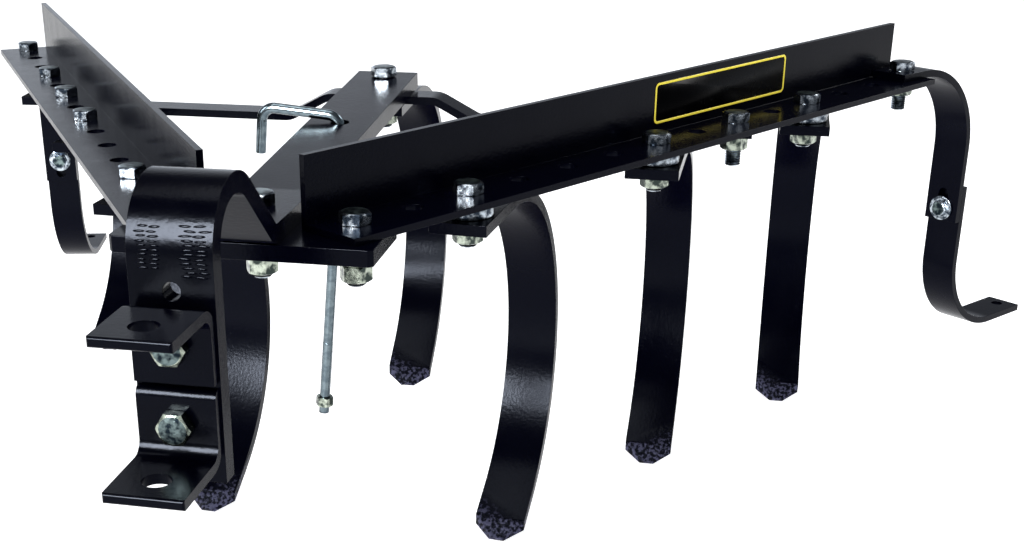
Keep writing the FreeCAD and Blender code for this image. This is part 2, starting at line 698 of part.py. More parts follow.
def arm_bolt_place(side, index, on_top):
    """Placement and grip of the bolt in one of an arm's holes."""
    left, back = hole_place(side, index)
    top, bottom = s.leg_top, leg_under
    if index == 0:
        bottom = plate_under
    elif index in TINE_HOLES:
        bottom = side_tine_top - s.tine_gauge
    elif index == CROSS_BAR_HOLE:
        bottom = leg_under - s.cross_gauge
    elif on_top:
        top = s.leg_top + s.strap_gauge
    else:
        bottom = leg_under - s.strap_gauge
    return Placement(Vector(left.number, back.number, top.number), Rotation()), top - bottom


shoe_bolts, shoe_nuts, lock_nuts = [], [], []
for side, name, swivels, strap_swivel, on_top in ARMS:
    nodes.append(build_arm(f"{name}_arm", side))
    spacers = []
    for index in TINE_HOLES:
        nodes.append(build_tine(f"{name}_{TINE_NAMES[index]}_tine", side, index, swivels[index]))
        left, back = hole_place(side, index)
        spacer = make_spacer(f"{name}_spacer_{index}")
        spacer.Placement.Base = Vector(left.number, back.number, side_tine_top.number)
        spacers.append(spacer)
    nodes.append(group(f"{name}_tine_spacers", spacers))
    nodes.append(build_gauge_strap(f"{name}_gauge_strap", side, strap_swivel, on_top))
    nodes.append(build_gauge_shoe(f"{name}_gauge_shoe", side, strap_swivel))
    bolts, nuts = [], []
    for index in ALL_BOLT_HOLES:
        place, grip = arm_bolt_place(side, index, on_top)
        kind = {0: NOSE_BOLT, CROSS_BAR_HOLE: LONG_BOLT, STRAP_HOLE: LONG_BOLT}.get(index, FRAME_BOLT)
        bolt, nut = bolt_and_nut(f"{name}_{index}", kind, place, grip)
        bolts.append(bolt)
        nuts.append(nut)
        if index == 0:
            lock_nuts.append(make_lock_nut(name, place, grip))
    nodes.append(group(f"{name}_arm_bolts", bolts))
    nodes.append(group(f"{name}_arm_nuts", nuts))
    left, back = hole_place(side, STRAP_HOLE)
    facing = turned(-strap_swivel) * Rotation(Vector(1, 0, 0), SQUARE.number)
    front = turned(-strap_swivel).multVec(Vector(0, strap_reach().number - s.strap_gauge.number / 2, 0))
    spot = Vector(left.number, back.number, s.leg_top.number - s.shoe_bolt_drop.number) + front
    bolt, nut = bolt_and_nut(f"{name}_shoe", SMALL_BOLT, Placement(spot, facing), s.strap_gauge * 2)
    shoe_bolts.append(bolt)
    shoe_nuts.append(nut)
nodes.append(group("gauge_bolts", shoe_bolts))
nodes.append(group("gauge_nuts", shoe_nuts))

# Bolts on the centre line: through beam and nose plate, and through beam, cross bar and centre tine
front_place = Vector(0, (s.first_hole_back + s.front_bolt_back).number, (leg_under + s.bar_gauge).number)
rear_top = beam_top_at(cross_back + s.bolt_flats / 2)
rear_place = Vector(0, cross_back.number, rear_top.number)
front_placement, front_grip = Placement(front_place, Rotation()), s.bar_gauge + s.plate_gauge
lock_nuts.append(make_lock_nut("centre_front", front_placement, front_grip))
nodes.append(group("nose_lock_nuts", lock_nuts))
centre_pairs = [bolt_and_nut("centre_front", NOSE_BOLT, front_placement, front_grip),
                bolt_and_nut("centre_rear", FRAME_BOLT, Placement(rear_place, Rotation()),
                             rear_top - centre_tine_top + s.tine_gauge)]
nodes.append(group("centre_bolts", [pair[0] for pair in centre_pairs]))
nodes.append(group("centre_nuts", [pair[1] for pair in centre_pairs]))

# Clevis bolts point to the rear through an ear and the drawbar
clevis_pairs = []
for name, side in (("upper", 1), ("lower", -1)):
    spot = Vector(0, (s.leg_face - s.ear_gauge).number, s.ear_bolt_up.number * side)
    place = Placement(spot, Rotation(Vector(1, 0, 0), SQUARE.number))
    clevis_pairs.append(bolt_and_nut(f"{name}_clevis", FRAME_BOLT, place, s.ear_gauge + s.bar_gauge))
nodes.append(group("clevis_bolts", [pair[0] for pair in clevis_pairs]))
nodes.append(group("clevis_nuts", [pair[1] for pair in clevis_pairs]))

# The hook rod's nut, near the rod's lower end
nut_grip = s.rod_length - s.rod_thread - s.rod_nut_height
rod_nut = make_nut("hook_nut", {"diameter": s.rod_diameter, "flats": s.rod_nut_flats,
                                "nut": s.rod_nut_height}, nut_grip)
rod_nut.Placement = rod_placement()
nodes.append(rod_nut)

doc.recompute()
for item in doc.Objects:
    if "Invalid" in item.State or "Error" in item.State:
        raise RuntimeError(f"{item.Name} failed: {item.State}")
for node in nodes:
    if node.Shape.isNull() or not node.Shape.isValid():
        raise RuntimeError(f"{node.Label} has no valid shape")
for node in nodes:
    node.Shape.exportStep(f"parts/{node.Label}.step")
    box = node.Shape.BoundBox
    print(node.Label, len(node.Shape.Solids), round(node.Shape.Volume), [round(v, 1) for v in (
        box.XMin, box.YMin, box.ZMin, box.XMax, box.YMax, box.ZMax)])
print("nodes", len(nodes), "volume", sum(node.Shape.Volume for node in nodes))
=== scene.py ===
"""Looks of the tow-behind cultivator: rounded black-painted steel, zinc fasteners with chamfers and
threads, a bare label, a plain pale floor, soft studio light and the photograph's camera. Metres, in the
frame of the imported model."""

import json
import math
import random

import bmesh
import bpy
from mathutils import Matrix, Vector
from mathutils.bvhtree import BVHTree


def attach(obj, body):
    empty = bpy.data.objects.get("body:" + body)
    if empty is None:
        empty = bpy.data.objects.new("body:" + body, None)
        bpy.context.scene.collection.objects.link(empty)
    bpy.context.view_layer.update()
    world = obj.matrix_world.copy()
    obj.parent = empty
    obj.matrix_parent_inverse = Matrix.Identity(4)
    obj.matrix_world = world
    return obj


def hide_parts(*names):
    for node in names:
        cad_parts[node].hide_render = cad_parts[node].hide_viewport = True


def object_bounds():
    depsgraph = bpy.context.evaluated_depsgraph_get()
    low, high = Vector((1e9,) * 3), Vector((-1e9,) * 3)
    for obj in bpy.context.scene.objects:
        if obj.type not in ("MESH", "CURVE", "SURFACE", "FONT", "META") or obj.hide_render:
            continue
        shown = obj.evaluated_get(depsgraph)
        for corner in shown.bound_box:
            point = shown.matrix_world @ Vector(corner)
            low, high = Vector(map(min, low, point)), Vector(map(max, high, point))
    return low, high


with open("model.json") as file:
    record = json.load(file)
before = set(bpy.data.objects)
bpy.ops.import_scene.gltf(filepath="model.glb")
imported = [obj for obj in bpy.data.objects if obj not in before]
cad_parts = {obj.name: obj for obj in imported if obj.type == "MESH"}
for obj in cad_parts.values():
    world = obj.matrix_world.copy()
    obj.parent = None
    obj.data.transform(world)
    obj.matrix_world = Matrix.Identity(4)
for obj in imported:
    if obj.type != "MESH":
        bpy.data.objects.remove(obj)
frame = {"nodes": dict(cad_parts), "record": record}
cad_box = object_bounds()
NODES = frame["nodes"]
BODIES = frame["record"]["behaviour"]["bodies"]
BODY_OF = {node: body for body, members in BODIES.items() for node in members}
SLOT_OF = {part["node"]: part["material_slot"] for part in frame["record"]["subparts"]}

# Camera solved from the photograph: metres, radians and pixels
CAMERA_PLACE = Vector((0.3067, -0.6915, 0.3190))
CAMERA_YAW = math.radians(-13.626)
CAMERA_PITCH = math.radians(23.405)
CAMERA_ROLL = math.radians(-0.742)
FOCAL_PIXELS = 1496.2
CENTRE_PIXEL = (400.64, 412.54)
PHOTO_SIZE = (1024, 545)
SENSOR_MM = 36.0
CLIP_END = 60.0

# Sizes are in metres. Places nearer than WELD are one, and NEAR is the slack where a place is chosen
MM = 0.001
WELD = 1e-6
NEAR = 0.1 * MM
SAME_FACE = math.radians(0.5)

# How far the steel's edges are rounded
EDGE_ROUND = 0.7 * MM
PLATE_ROUND = {"drawbar": 1.1 * MM, "nose_plate": 1.6 * MM}
EAR_FRONT_ROUND = 1.8 * MM
EAR_TOP_ROUND = 8.5 * MM

# Arms, as in the part's source: first hole, spacing and direction of the holes, the first hole's distance
# from the arm's end, the holes' distance from the upright and the flat leg's top
FIRST_HOLE = Vector((64.7, 191.0)) * MM
HOLE_PITCH = 50.8 * MM
ARM_ANGLE = math.radians(33.6)
ARM_START = 23.8 * MM
HOLE_INSET = 19.3 * MM
LEG_TOP = 54.0 * MM

# Tines, as in the part's source: side (1 left, -1 right, 0 the cross bar), number of the hole and swivel in
# degrees; the bar's flat length from the hole, its bend and its straight end. The tip is the thinned point
TINES = {
    "left_front_tine": (1, 2, 5.4), "left_middle_tine": (1, 6, 1.0), "left_rear_tine": (1, 10, 0.2),
    "right_front_tine": (-1, 2, 3.0), "right_middle_tine": (-1, 6, -1.0), "right_rear_tine": (-1, 10, -4.4),
    "centre_tine": (0, 8, -2.0),
}
TINE_GAUGE = 7.94 * MM
TINE_FLAT = 52.7 * MM
TINE_RADIUS = 141.7 * MM
TINE_TURN = math.radians(150.0)
TINE_END = 45.0 * MM
TIP_LENGTH = 16.0 * MM
TIP_GAUGE = 3.0 * MM

# Fasteners: across flats, height of the head, length, diameter and pitch of the thread
FRAME_BOLT = {"flats": 19.05 * MM, "head": 8.0 * MM, "thread": 22.0 * MM, "diameter": 12.7 * MM,
              "pitch": 1.95 * MM}
SMALL_BOLT = {"flats": 14.3 * MM, "head": 6.2 * MM, "thread": 12.0 * MM, "diameter": 9.5 * MM,
              "pitch": 1.6 * MM}
ROD_THREAD = {"flats": 12.7 * MM, "thread": 62.0 * MM, "diameter": 8.0 * MM, "pitch": 1.25 * MM}
THREAD_DEPTH = 0.45            # share of the pitch
THREAD_RUNOUT = 1.0 * MM       # plain shank under a head, at least
ROD_CREST = 0.22 * MM          # the rod's thread above its surface, and
ROD_ROOT = 0.3 * MM            # below it
RING_STEPS = 48                # points round a ring, a multiple of 6 for the hexagons' corners
HEX_INSET = 0.12 * MM          # keeps a dressed hexagon inside the solid's
CHAMFER_SLOPE = math.tan(math.radians(30))
WASHER_FACE = 0.475            # radius of the round face at a chamfer, share of the width across flats
TOP_FACE = 0.44                # radius of a head's flat top, share of the same
TOP_STEP = 0.25 * MM           # rise from the chamfer's face to the top
SEAT = 0.5 * MM                # height of the washer face under a head
FLUSH = 0.01 * MM              # keeps two rings apart where a hexagon has no chamfer
NUT_LIP = 0.8 * MM             # depth and width of the countersink at a nut's bore
BORE_SLACK = 0.05 * MM
TOP_FACING = 0.97              # a face is a head's top where it faces along the axis by this much
TOP_AREA = 60e-6               # and is larger than this, in square metres
WASHER = {"inner": 5.0 * MM, "outer": 11.8 * MM, "height": 1.8 * MM, "soft": 0.25 * MM}

# Directions of the fasteners' axes: each matrix turns +Z into the axis from the shank to the head. The
# shoes' swivels, right and left, and the hook rod's lean are in degrees
UPRIGHT = Matrix.Identity(3)
FACING_FRONT = Matrix.Rotation(math.radians(90), 3, "X")
SHOE_SWIVELS = (-14.0, 39.0)
SHOE_BASES = [Matrix.Rotation(math.radians(-swivel), 3, "Z") @ FACING_FRONT for swivel in SHOE_SWIVELS]
ROD_BASIS = Matrix.Rotation(math.radians(5.0), 3, "Y")

# Ripples on the arch's front, in two columns: middle, half width, lowest and highest row. One ripple's
# profile goes from its foot to its top: share of its length and height, and share of the relief
RIPPLE_COLUMNS = ((-12.5 * MM, 7.2 * MM, 67.0 * MM, 92.0 * MM),
                  (14.6 * MM, 8.6 * MM, 63.0 * MM, 92.5 * MM))
RIPPLE_PROFILE = ((1.0, -0.4), (1.0, 0.0), (0.72, 0.62), (0.38, 0.93))
RIPPLE_TURNS = 16
RIPPLE_STEP = 2.5 * MM
RIPPLE_RELIEF = 0.45 * MM
RIPPLE_SEED = 11

# Label: place of its middle along the arm and above the flat leg; length, height and corner radius of the
# film and of the border's outline outside and inside
LABEL_ALONG = 437.0 * MM
LABEL_RISE = 23.0 * MM
FILM_OUTLINE = (176.0 * MM, 32.5 * MM, 4.6 * MM)
BORDER_OUTSIDE = (175.0 * MM, 31.5 * MM, 4.2 * MM)
BORDER_INSIDE = (171.4 * MM, 27.9 * MM, 2.6 * MM)
FILM_TOP = 0.12 * MM
BORDER_FOOT = 0.1 * MM
BORDER_TOP = 0.17 * MM
CORNER_STEPS = 6

# Floor: its glow falls from one strength to the other between two places along a direction
FLOOR_SIZE = 14.0
FLOOR_GLOW = (0.88, 0.42)
FLOOR_DIRECTION = (0.30, -0.95, 0.0)
FLOOR_FADE = (-0.15, 1.3)

# Surround: strength at the horizon and from a height upwards, and a soft bright spot in one direction, with
# the degrees from its middle where it begins and where it is full
SKY_COLOUR = (0.84, 0.90, 1.0, 1.0)
SKY_STRENGTH = (0.62, 0.16)
SKY_HEIGHT = 0.55
SPOT_DIRECTION = (-0.55, 1.0, 0.26)
SPOT_ANGLES = (26, 14)
SPOT_STRENGTH = 0.8

# Lights: place, target, width and height, power in watts
MIDDLE = (0.0, 0.4, 0.0)
LIGHTS = {
    "overhead": ((-0.3, 0.5, 2.4), MIDDLE, (1.6, 1.2), 20.0),
    "front": ((-0.85, -2.1, 1.25), (0.1, 0.2, -0.05), (0.8, 1.3), 340.0),
    "left_side": ((-2.0, -0.6, 1.1), MIDDLE, (0.5, 1.2), 22.0),
    "right_back": ((1.8, 2.4, 1.6), MIDDLE, (1.2, 0.8), 26.0),
}

# Paint: colour, strength and tint of its reflections, and the bare specks on the tines' forged points
PAINT_COLOUR = (0.0006, 0.0007, 0.0046, 1.0)
PAINT_SPECULAR = 0.055
PAINT_TINT = (0.76, 0.84, 1.0, 1.0)
FORGED_COLOUR = (0.10, 0.10, 0.17)


def add_camera():
    """A camera with the photograph's place, direction and framing."""
    forward = Vector((math.sin(CAMERA_YAW) * math.cos(CAMERA_PITCH),
                      math.cos(CAMERA_YAW) * math.cos(CAMERA_PITCH), -math.sin(CAMERA_PITCH)))
    level = Vector((math.cos(CAMERA_YAW), -math.sin(CAMERA_YAW), 0.0))
    upward = level.cross(forward)
    right = level * math.cos(CAMERA_ROLL) + upward * math.sin(CAMERA_ROLL)
    up = upward * math.cos(CAMERA_ROLL) - level * math.sin(CAMERA_ROLL)
    data = bpy.data.cameras.new("camera")
    data.sensor_width = SENSOR_MM
    data.lens = FOCAL_PIXELS * SENSOR_MM / PHOTO_SIZE[0]
    data.shift_x = (PHOTO_SIZE[0] / 2 - CENTRE_PIXEL[0]) / PHOTO_SIZE[0]
    data.shift_y = (CENTRE_PIXEL[1] - PHOTO_SIZE[1] / 2) / PHOTO_SIZE[0]
    data.clip_end = CLIP_END
    camera = bpy.data.objects.new("camera", data)
    turn = Matrix((right, up, -forward)).transposed().to_4x4()
    camera.matrix_world = Matrix.Translation(CAMERA_PLACE) @ turn
    bpy.context.scene.collection.objects.link(camera)
    bpy.context.scene.camera = camera


class Wiring:
    """A node tree that is wired by short calls, each of which returns the new node's output."""

    def __init__(self, tree, coordinate):
        self.tree = tree
        self.place = tree.nodes.new("ShaderNodeTexCoord").outputs[coordinate]

    def feed(self, socket, source):
        """Links a socket to another, or sets it to a number."""
        if isinstance(source, bpy.types.NodeSocket):
            self.tree.links.new(source, socket)
        else:
            socket.default_value = source

    def math(self, operation, *sources):
        node = self.tree.nodes.new("ShaderNodeMath")
        node.operation = operation
        for socket, source in zip(node.inputs, sources):
            self.feed(socket, source)
        return node.outputs["Value"]

    def along(self, direction):
        """How far a place lies along a direction."""
        node = self.tree.nodes.new("ShaderNodeVectorMath")
        node.operation = "DOT_PRODUCT"
        node.inputs[1].default_value = direction
        self.tree.links.new(self.place, node.inputs[0])
        return node.outputs["Value"]

    def noise(self, scale, detail=2.0, stretch=None):
        node = self.tree.nodes.new("ShaderNodeTexNoise")
        node.inputs["Scale"].default_value = scale
        node.inputs["Detail"].default_value = detail
        place = self.place
        if stretch:
            mapping = self.tree.nodes.new("ShaderNodeMapping")
            mapping.inputs["Scale"].default_value = stretch
            self.tree.links.new(self.place, mapping.inputs["Vector"])
            place = mapping.outputs["Vector"]
        self.tree.links.new(place, node.inputs["Vector"])
        return node.outputs["Fac"]

    def spread(self, source, low, high, from_low=0.0, from_high=1.0):
        """The source's range from_low to from_high as low to high."""
        node = self.tree.nodes.new("ShaderNodeMapRange")
        for name, value in (("Value", source), ("From Min", from_low), ("From Max", from_high),
                            ("To Min", low), ("To Max", high)):
            self.feed(node.inputs[name], value)
        return node.outputs["Result"]

    def ramp(self, source, *stops):
        """Colours between two stops, each a position and a colour."""
        node = self.tree.nodes.new("ShaderNodeValToRGB")
        for element, (position, colour) in zip(node.color_ramp.elements, stops):
            element.position = position
            element.color = (*colour, 1.0)
        self.tree.links.new(source, node.inputs["Fac"])
        return node.outputs["Color"]

    def bump(self, height, strength, distance, below=None):
        """Relief, on top of another relief where one is given."""
        node = self.tree.nodes.new("ShaderNodeBump")
        node.inputs["Strength"].default_value = strength
        node.inputs["Distance"].default_value = distance
        self.tree.links.new(height, node.inputs["Height"])
        if below:
            self.tree.links.new(below, node.inputs["Normal"])
        return node.outputs["Normal"]


class Shader(Wiring):
    """A new material and its surface shader."""

    def __init__(self, name):
        self.material = bpy.data.materials.new(name)
        self.material.use_nodes = True
        super().__init__(self.material.node_tree, "Object")
        self.surface = self.tree.nodes["Principled BSDF"]

    def set(self, **values):
        """Sets what is the same all over; an underscore stands for a space in the input's name."""
        for name, value in values.items():
            self.surface.inputs[name.replace("_", " ")].default_value = value

    def link(self, name, source):
        self.tree.links.new(source, self.surface.inputs[name])


def paint_base(name):
    """Gloss black paint: returns the shader, its patchy gloss, and its orange peel with a few dust nibs."""
    shader = Shader(name)
    shader.set(Base_Color=PAINT_COLOUR, Specular_IOR_Level=PAINT_SPECULAR, Specular_Tint=PAINT_TINT)
    patches = shader.noise(scale=28.0, detail=4.0)
    streaks = shader.noise(scale=60.0, detail=3.0, stretch=(1.0, 1.0, 0.25))
    gloss = shader.math("ADD", shader.spread(patches, low=0.13, high=0.24),
                        shader.spread(streaks, low=-0.03, high=0.06))
    peel = shader.bump(shader.noise(scale=420.0), strength=0.16, distance=0.0006)
    nibs = shader.math("GREATER_THAN", shader.noise(scale=900.0, detail=0.0), 0.79)
    return shader, gloss, shader.bump(nibs, strength=0.25, distance=0.0003, below=peel)


def black_paint():
    """The paint of the frame."""
    shader, gloss, normal = paint_base("gloss_black_paint")
    shader.link("Roughness", gloss)
    shader.link("Normal", normal)
    return shader.material


def tine_paint():
    """The same paint, rough over the forged point, where the attribute tip is 1."""
    shader, gloss, normal = paint_base("gloss_black_paint_tines")
    attribute = shader.tree.nodes.new("ShaderNodeAttribute")
    attribute.attribute_name = "tip"
    tip = attribute.outputs["Fac"]
    grain = shader.noise(scale=330.0, detail=5.0)
    chips = shader.math("MULTIPLY", shader.spread(grain, 0.0, 1.0, from_low=0.42, from_high=0.6), tip)
    forged = shader.bump(shader.math("MULTIPLY", grain, tip), strength=0.9, distance=0.0022, below=normal)
    shader.link("Base Color", shader.ramp(chips, (0.25, PAINT_COLOUR[:3]), (0.95, FORGED_COLOUR)))
    shader.link("Roughness", shader.math("ADD", gloss, shader.math("MULTIPLY", tip, 0.16)))
    shader.link("Normal", forged)
    return shader.material


def zinc(name, colour, shade, roughness, relief=0.1):
    """Zinc plate with cloudy patches, dark smudges and fine tool marks."""
    shader = Shader(name)
    shader.set(Metallic=1.0)
    clouds = shader.noise(scale=190.0, detail=5.0)
    shader.link("Base Color", shader.ramp(clouds, (0.42, shade), (0.60, colour)))
    shader.link("Roughness", shader.spread(clouds, low=roughness + 0.16, high=roughness))
    marks = shader.bump(shader.noise(scale=1100.0), strength=relief, distance=0.0004)
    dents = shader.bump(shader.noise(scale=300.0, detail=3.0), strength=relief * 1.6, distance=0.0007,
                        below=marks)
    shader.link("Normal", dents)
    return shader.material


def label_border():
    """Printed yellow, faintly self-lit so that it stays bright beside the dark paint."""
    shader = Shader("printed_yellow_border")
    ink = shader.noise(scale=700.0)
    shader.link("Base Color", shader.ramp(ink, (0.3, (0.90, 0.76, 0.05)), (0.7, (1.0, 0.88, 0.09))))
    shader.link("Roughness", shader.spread(ink, low=0.3, high=0.45))
    shader.set(Emission_Color=(1.0, 0.78, 0.06, 1.0), Emission_Strength=0.4)
    return shader.material


def label_film():
    """Smooth black film with slow waves."""
    shader = Shader("black_label_film")
    shader.set(Base_Color=(0.0015, 0.0015, 0.0018, 1.0), Specular_IOR_Level=0.03)
    waves = shader.noise(scale=45.0)
    shader.link("Roughness", shader.spread(waves, low=0.2, high=0.34))
    shader.link("Normal", shader.bump(waves, strength=0.05, distance=0.001))
    return shader.material


MATERIALS = {
    "black_paint": black_paint(),
    "bright_zinc": zinc("bright_zinc_plate", (0.46, 0.51, 0.56), (0.025, 0.035, 0.05), 0.12),
    "yellow_zinc": zinc("yellow_zinc_plate", (0.38, 0.42, 0.35), (0.03, 0.04, 0.036), 0.15),
}
TINE_PAINT = tine_paint()
ROD_ZINC = zinc("bright_zinc_rod", (0.16, 0.20, 0.22), (0.10, 0.13, 0.15), 0.12, relief=0.04)
# Painted shade: the bolt heads' outer faces get a darker copy of the zinc, standing in for the dimmer
# surround they face; its coarser relief and roughness are the metal's own
SHADED_HEAD_TOP = zinc("shaded_head_tops", (0.13, 0.17, 0.17), (0.008, 0.013, 0.018), 0.24, relief=0.3)


def add_piece(name, mesh, material, body, node=None):
    """Turns a bmesh into an object that rides on a body and, where a node is given, stands for it."""
    data = bpy.data.meshes.new(name)
    mesh.to_mesh(data)
    mesh.free()
    for face in data.polygons:
        face.use_smooth = True
    data.materials.append(material)
    piece = bpy.data.objects.new(name, data)
    bpy.context.scene.collection.objects.link(piece)
    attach(piece, body)
    if node:
        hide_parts(node)
    return piece


def dress(node, mesh, material):
    """A piece that stands for a node, on the node's body and with the material given."""
    return add_piece(f"{node}_dressed", mesh, material, BODY_OF[node], node)


def even_shading(piece):
    """Weights normals by area, so that faces stay flat beside their rounded edges."""
    piece.modifiers.new("even_shading", "WEIGHTED_NORMAL").keep_sharp = True


def clean_copy(node):
    """The node's own form as a bmesh, its flat faces joined."""
    mesh = bmesh.new()
    mesh.from_mesh(NODES[node].data)
    bmesh.ops.remove_doubles(mesh, verts=mesh.verts, dist=WELD)
    bmesh.ops.dissolve_limit(mesh, angle_limit=SAME_FACE, verts=mesh.verts, edges=mesh.edges)
    return mesh


def round_edges(mesh, width, chosen=None, segments=2, angle=35):
    """Rounds the edges that turn by more than an angle in degrees, where both their ends are chosen."""
    sharp = [edge for edge in mesh.edges
             if len(edge.link_faces) == 2 and edge.calc_face_angle(0.0) > math.radians(angle)
             and (chosen is None or all(chosen(vert.co) for vert in edge.verts))]
    bmesh.ops.bevel(mesh, geom=sharp, offset=width, segments=segments, profile=0.5, affect="EDGES",
                    clamp_overlap=True)


def dress_steel(node, mesh, material):
    """Bar, plate or rod with all its edges rounded."""
    round_edges(mesh, PLATE_ROUND.get(node, EDGE_ROUND), segments=3)
    even_shading(dress(node, mesh, material))


def hole_point(side, index):
    """The middle of an arm's hole from above; side 0 gives a place on the machine's middle line."""
    along = HOLE_PITCH * index
    return Vector(((FIRST_HOLE.x + along * math.sin(ARM_ANGLE)) * side,
                   FIRST_HOLE.y + along * math.cos(ARM_ANGLE)))


def dress_tine(node):
    """Thins the tine's point from above, marks it for its rough paint and rounds its edges."""
    side, index, swivel = TINES[node]
    hole = hole_point(side, index)
    turn = math.radians(swivel)
    back = Vector((math.sin(turn), math.cos(turn), 0.0))
    heights = [vert.co.z for vert in NODES[node].data.vertices]
    lowest = min(heights)
    start = Vector((hole.x, hole.y, max(heights) - TINE_GAUGE / 2))
    bend_end = (start + back * (TINE_FLAT + TINE_RADIUS * math.sin(TINE_TURN))
                - Vector((0, 0, TINE_RADIUS * (1 - math.cos(TINE_TURN)))))
    run = back * math.cos(TINE_TURN) - Vector((0, 0, math.sin(TINE_TURN)))
    upper = -back * math.sin(TINE_TURN) - Vector((0, 0, math.cos(TINE_TURN)))
    tip_start = bend_end + run * (TINE_END - TIP_LENGTH)
    mesh = clean_copy(node)
    everything = mesh.verts[:] + mesh.edges[:] + mesh.faces[:]
    bmesh.ops.bisect_plane(mesh, geom=everything, dist=WELD, plane_co=tip_start, plane_no=run)
    for vert in mesh.verts:
        ahead = (vert.co - tip_start).dot(run)
        if ahead > NEAR / 2 and (vert.co - tip_start).dot(upper) > 0:
            vert.co -= upper * (TINE_GAUGE - TIP_GAUGE) * min(1.0, ahead / TIP_LENGTH)
    round_edges(mesh, EDGE_ROUND, angle=14)
    tip = mesh.verts.layers.float.new("tip")
    for vert in mesh.verts:
        vert.co.z = max(vert.co.z, lowest)
        vert[tip] = 1.0 if (vert.co - tip_start).dot(run) > -2 * NEAR else 0.0
    even_shading(dress(node, mesh, TINE_PAINT))


def dress_lower_ear():
    """The lower ear, its leg's upper end rounded over."""
    mesh = clean_copy("lower_clevis_ear")
    high = max(vert.co.z for vert in mesh.verts) - NEAR
    face = min(vert.co.y for vert in mesh.verts if vert.co.z > high) + NEAR
    round_edges(mesh, EAR_TOP_ROUND, lambda spot: spot.z > high and spot.y < face, segments=8)
    dress_ear("lower_clevis_ear", mesh)


def dress_ear(node, mesh):
    """An ear with its front end well rounded."""
    front = min(vert.co.y for vert in mesh.verts) + NEAR
    round_edges(mesh, EAR_FRONT_ROUND, lambda spot: spot.y < front, segments=4)
    dress_steel(node, mesh, MATERIALS["black_paint"])


def skin_rows(mesh, rows, closed):
    """Faces from each row of points to the next; the last row joins the first, or both ends are capped."""
    for low, high in zip(rows, rows[1:] + rows[:1] if closed else rows[1:]):
        for here in range(len(low)):
            ahead = (here + 1) % len(low)
            mesh.faces.new((low[here], low[ahead], high[ahead], high[here]))
    if not closed:
        mesh.faces.new(list(reversed(rows[0])))
        mesh.faces.new(rows[-1])


def hex_reach(turn, flats):
    """Distance from a hexagon's middle to its edge, with its corners at 0, 60 and so on degrees."""
    return flats / 2 / math.cos(turn % (math.pi / 3) - math.pi / 6)


def ring_mesh(rings, closed):
    """A turned form: rings of (radius, height), each a number or a function of the angle."""
    mesh = bmesh.new()
    turns = [2 * math.pi * step / RING_STEPS for step in range(RING_STEPS)]
    rows = []
    for radius, height in rings:
        row = []
        for turn in turns:
            reach = radius(turn) if callable(radius) else radius
            level = height(turn) if callable(height) else height
            row.append(mesh.verts.new((reach * math.cos(turn), reach * math.sin(turn), level)))
        rows.append(row)
    skin_rows(mesh, rows, closed)
    bmesh.ops.recalc_face_normals(mesh, faces=mesh.faces)
    return mesh


def thread_rings(kind, low, high):
    """A thread from low up to high: crests and roots half a pitch apart."""
    major = kind["diameter"] / 2
    minor = major - kind["pitch"] * THREAD_DEPTH
    rings = [(minor, low), (minor, low + NEAR)]
    level = low + kind["pitch"] / 2
    while level < high - kind["pitch"]:
        rings += [(major, level), (minor, level + kind["pitch"] / 2)]
        level += kind["pitch"]
    return rings + [(major, level)]


def hex_sides(kind, low, high, chamfer_low):
    """Side rings of a hexagon whose corners a cone cuts back at the top and, if asked, at the bottom."""
    flats = kind["flats"]
    inner = flats * WASHER_FACE

    def outline(turn):
        return hex_reach(turn, flats) - HEX_INSET

    def cut(turn):
        return max(0.0, outline(turn) - inner) * CHAMFER_SLOPE

    foot = (lambda turn: low + cut(turn)) if chamfer_low else low + FLUSH
    return [(inner, low), (outline, foot), (outline, lambda turn: high - cut(turn)), (inner, high)]


def bolt_mesh(kind, low, high):
    """A bolt along +Z: threaded shank from low, washer face and chamfered head up to high."""
    under = high - kind["head"]
    seat = under + SEAT
    face = kind["flats"] * WASHER_FACE
    rings = thread_rings(kind, low, min(low + kind["thread"], under - THREAD_RUNOUT))
    rings += [(kind["diameter"] / 2, under), (face, under), (face, seat)]
    rings += hex_sides(kind, seat, high - TOP_STEP, chamfer_low=False)
    return ring_mesh(rings + [(kind["flats"] * TOP_FACE, high)], closed=False)


def nut_mesh(kind, low, high):
    """A nut along +Z with a countersunk bore, chamfered at both ends."""
    bore = kind["diameter"] / 2 + BORE_SLACK
    lip = bore + NUT_LIP
    rings = [(bore, high - NUT_LIP), (bore, low + NUT_LIP), (lip, low)]
    rings += hex_sides(kind, low, high, chamfer_low=True)
    return ring_mesh(rings + [(lip, high)], closed=True)


def islands(node):
    """The node's separate solids, each as its vertices' places, in the order of their lowest corners."""
    mesh = bmesh.new()
    mesh.from_mesh(NODES[node].data)
    bmesh.ops.remove_doubles(mesh, verts=mesh.verts, dist=WELD)
    left = set(mesh.verts)
    groups = []
    while left:
        pending = [left.pop()]
        found = []
        while pending:
            vert = pending.pop()
            found.append(vert.co.copy())
            for edge in vert.link_edges:
                other = edge.other_vert(vert)
                if other in left:
                    left.remove(other)
                    pending.append(other)
        groups.append(found)
    mesh.free()
    return sorted(groups, key=lambda places: [min(place[axis] for place in places) for axis in range(3)])


def own_frame(places, basis):
    """A matrix that puts +Z on a solid's own axis, and the solid's lowest and highest place along it."""
    inward = basis.inverted()
    local = [inward @ place for place in places]
    lows = [min(place[axis] for place in local) for axis in range(3)]
    highs = [max(place[axis] for place in local) for axis in range(3)]
    middle = basis @ Vector(((lows[0] + highs[0]) / 2, (lows[1] + highs[1]) / 2, 0.0))
    return Matrix.Translation(middle) @ basis.to_4x4(), lows[2], highs[2]


def join_into(whole, mesh, placement):
    """Puts a bmesh in its place in a larger one."""
    mesh.transform(placement)
    part = bpy.data.meshes.new("part")
    mesh.to_mesh(part)
    mesh.free()
    whole.from_mesh(part)
    bpy.data.meshes.remove(part)


